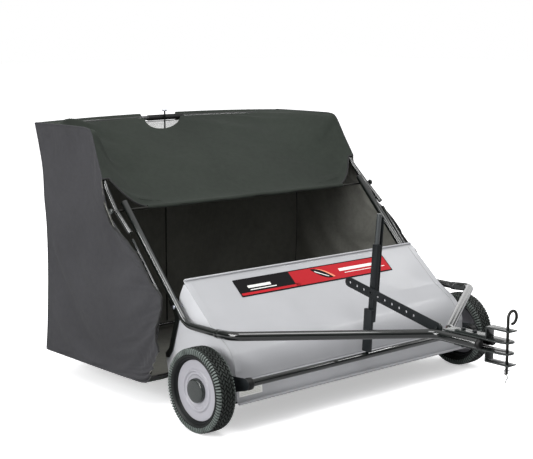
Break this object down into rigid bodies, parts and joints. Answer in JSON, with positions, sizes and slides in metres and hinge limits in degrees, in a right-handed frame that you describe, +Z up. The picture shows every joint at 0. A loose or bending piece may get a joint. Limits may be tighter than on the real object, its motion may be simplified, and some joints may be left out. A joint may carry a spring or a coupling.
{
  "type": "lawn sweeper",
  "caption": "Tow-behind lawn sweeper: wheel-driven rotary brush in a folded sheet housing, fabric hopper on side arms, V drawbar with pin hitch and height lever.",
  "frame": {"origin": "on the ground under the middle of the overall outline, 158 mm behind the wheel axle line", "axes": "+Z up, -Y forward towards the hitch, X along the axle line"},
  "size_m": [1.462, 1.94, 1.052],
  "materials": {
    "grey_sheet": "light grey gloss paint on folded sheet",
    "black_gloss": "gloss black paint on steel tube",
    "black_powder": "satin black powder coat",
    "zinc": "zinc-plated steel",
    "dark_steel": "oiled dark steel",
    "tire_rubber": "moulded rubber with block tread",
    "black_rubber": "black moulded rubber",
    "grip_vinyl": "dipped vinyl",
    "disc_grey": "moulded grey plastic",
    "cap_black": "moulded black plastic",
    "gear_plastic": "moulded nylon",
    "bristle": "polypropylene bristle rows",
    "bag_fabric": "coated charcoal polyester"
  },
  "bodies": {
    "chassis": {"housing_cover": "grey_sheet", "side_plate_left": "grey_sheet", "side_plate_right": "grey_sheet", "brush_bearing_left": "gear_plastic", "brush_bearing_right": "gear_plastic", "rear_tie_bar": "black_gloss", "side_arm_left": "black_gloss", "side_arm_right": "black_gloss", "drawbar_tube_left": "black_gloss", "drawbar_tube_right": "black_gloss", "drawbar_plug_left": "black_rubber", "drawbar_plug_right": "black_rubber", "arm_bolt_left": "zinc", "arm_bolt_right": "zinc", "lower_strut_left": "black_gloss", "lower_strut_right": "black_gloss", "hitch_plate_upper": "zinc", "hitch_plate_lower": "zinc", "hitch_bracket_upper": "zinc", "hitch_bracket_lower": "zinc", "hitch_bolt_1": "black_powder", "hitch_bolt_2": "black_powder", "strap_bolt": "black_powder", "pivot_rod": "zinc", "pivot_knob_left": "cap_black", "pivot_knob_right": "cap_black"},
    "axle_frame": {"front_tube": "black_gloss", "wheel_arm_left": "black_powder", "wheel_arm_right": "black_powder", "stub_axle_left": "zinc", "stub_axle_right": "zinc", "tube_clamp_left": "black_rubber", "tube_clamp_right": "black_rubber", "lever_bracket": "black_powder", "height_lever": "black_powder", "lever_grip": "grip_vinyl"},
    "strap": {"height_strap": "black_powder"},
    "left_wheel": {"tire_left": "tire_rubber", "wheel_disc_left": "disc_grey", "hub_cap_left": "cap_black", "drive_gear_left": "gear_plastic"},
    "right_wheel": {"tire_right": "tire_rubber", "wheel_disc_right": "disc_grey", "hub_cap_right": "cap_black", "drive_gear_right": "gear_plastic"},
    "left_pinion": {"brush_pinion_left": "dark_steel"},
    "right_pinion": {"brush_pinion_right": "dark_steel"},
    "brush": {"brush_shaft": "dark_steel", "brush_strip_1": "bristle", "brush_strip_2": "bristle", "brush_strip_3": "bristle"},
    "hopper": {"upper_hoop": "black_gloss", "lower_frame": "black_gloss", "floor_front_bar": "black_gloss", "prop_rod": "zinc", "hopper_bag": "bag_fabric"},
    "trigger": {"squeeze_trigger": "black_powder"},
    "latch": {"latch_pin": "zinc"},
    "pin": {"hitch_pin": "dark_steel"},
    "clip": {"hitch_clip": "zinc"}
  },
  "joints": [
    {"name": "height_adjust", "type": "hinge", "parent": "chassis", "child": "axle_frame", "pos_m": [0, -0.093, 0.165], "axis": [1, 0, 0], "range_deg": [-18, 22]},
    {"name": "strap_swing", "type": "hinge", "parent": "chassis", "child": "strap", "pos_m": [0, -0.645, 0.355], "axis": [1, 0, 0], "range_deg": [-11, 9]},
    {"name": "left_wheel_roll", "type": "hinge", "parent": "axle_frame", "child": "left_wheel", "pos_m": [0, -0.158, 0.1525], "axis": [1, 0, 0], "continuous": true},
    {"name": "right_wheel_roll", "type": "hinge", "parent": "axle_frame", "child": "right_wheel", "pos_m": [0, -0.158, 0.1525], "axis": [1, 0, 0], "continuous": true},
    {"name": "left_pinion_spin", "type": "hinge", "parent": "axle_frame", "child": "left_pinion", "pos_m": [0, -0.093, 0.165], "axis": [1, 0, 0], "continuous": true},
    {"name": "right_pinion_spin", "type": "hinge", "parent": "axle_frame", "child": "right_pinion", "pos_m": [0, -0.093, 0.165], "axis": [1, 0, 0], "continuous": true},
    {"name": "brush_spin", "type": "hinge", "parent": "chassis", "child": "brush", "pos_m": [0, -0.093, 0.165], "axis": [1, 0, 0], "continuous": true},
    {"name": "hopper_dump", "type": "hinge", "parent": "chassis", "child": "hopper", "pos_m": [0, 0.375, 0.724], "axis": [1, 0, 0], "range_deg": [0, 75]},
    {"name": "trigger_squeeze", "type": "hinge", "parent": "axle_frame", "child": "trigger", "pos_m": [0.023, -0.3305, 0.6], "axis": [0, -1, 0], "range_deg": [0, 2.4]},
    {"name": "latch_slide", "type": "slide", "parent": "axle_frame", "child": "latch", "axis": [1, 0, 0], "range_m": [0, 0.0075]},
    {"name": "hitch_pin_lift", "type": "slide", "parent": "chassis", "child": "pin", "axis": [0, 0, 1], "range_m": [0, 0.012]},
    {"name": "hitch_clip_pull", "type": "slide", "parent": "pin", "child": "clip", "axis": [0, 1, 0], "range_m": [0, 0.03]}
  ],
  "couplings": [
    {"joint": "strap_swing", "follows": "height_adjust", "ratio": -0.486},
    {"joint": "left_pinion_spin", "follows": "left_wheel_roll", "ratio": -5.6},
    {"joint": "brush_spin", "follows": "left_wheel_roll", "ratio": -5.6},
    {"joint": "right_pinion_spin", "follows": "right_wheel_roll", "ratio": -5.6},
    {"joint": "latch_slide", "follows": "trigger_squeeze", "m_per_rad": 0.172}
  ]
}
